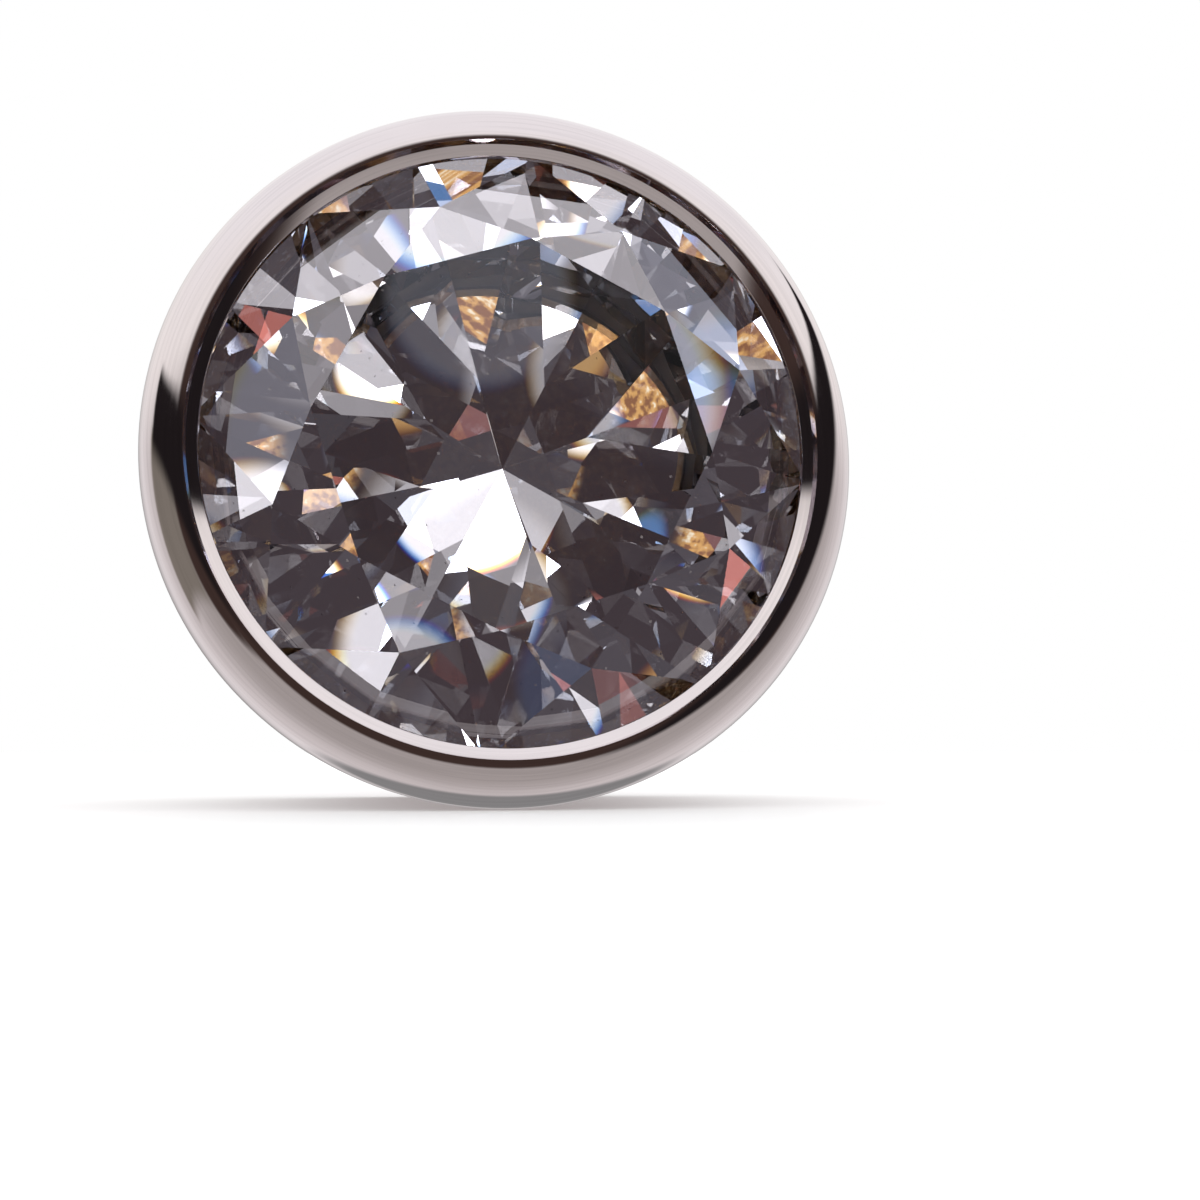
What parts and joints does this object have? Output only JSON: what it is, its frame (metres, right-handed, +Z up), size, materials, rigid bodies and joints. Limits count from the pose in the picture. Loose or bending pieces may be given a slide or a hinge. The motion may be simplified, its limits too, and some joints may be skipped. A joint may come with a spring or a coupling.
{
  "type": "threadless gem top",
  "caption": "Bezel-set round gem top for a threadless body jewel: a polished round head holds the stone, and a plain pin on its back presses into a hollow post.",
  "frame": {"origin": "on the surface that the head lies on, under the middle of the whole length", "axes": "+Y along the head's axis, from the stone towards the tip of the pin; +Z up; +X to the right as seen facing the stone"},
  "size_m": [0.0036, 0.0064, 0.0036],
  "materials": {
    "metal": "mirror polished, warm grey",
    "stone": "clear faceted cubic zirconia"
  },
  "bodies": {
    "root": {"setting": "metal", "gem": "stone"}
  },
  "joints": []
}
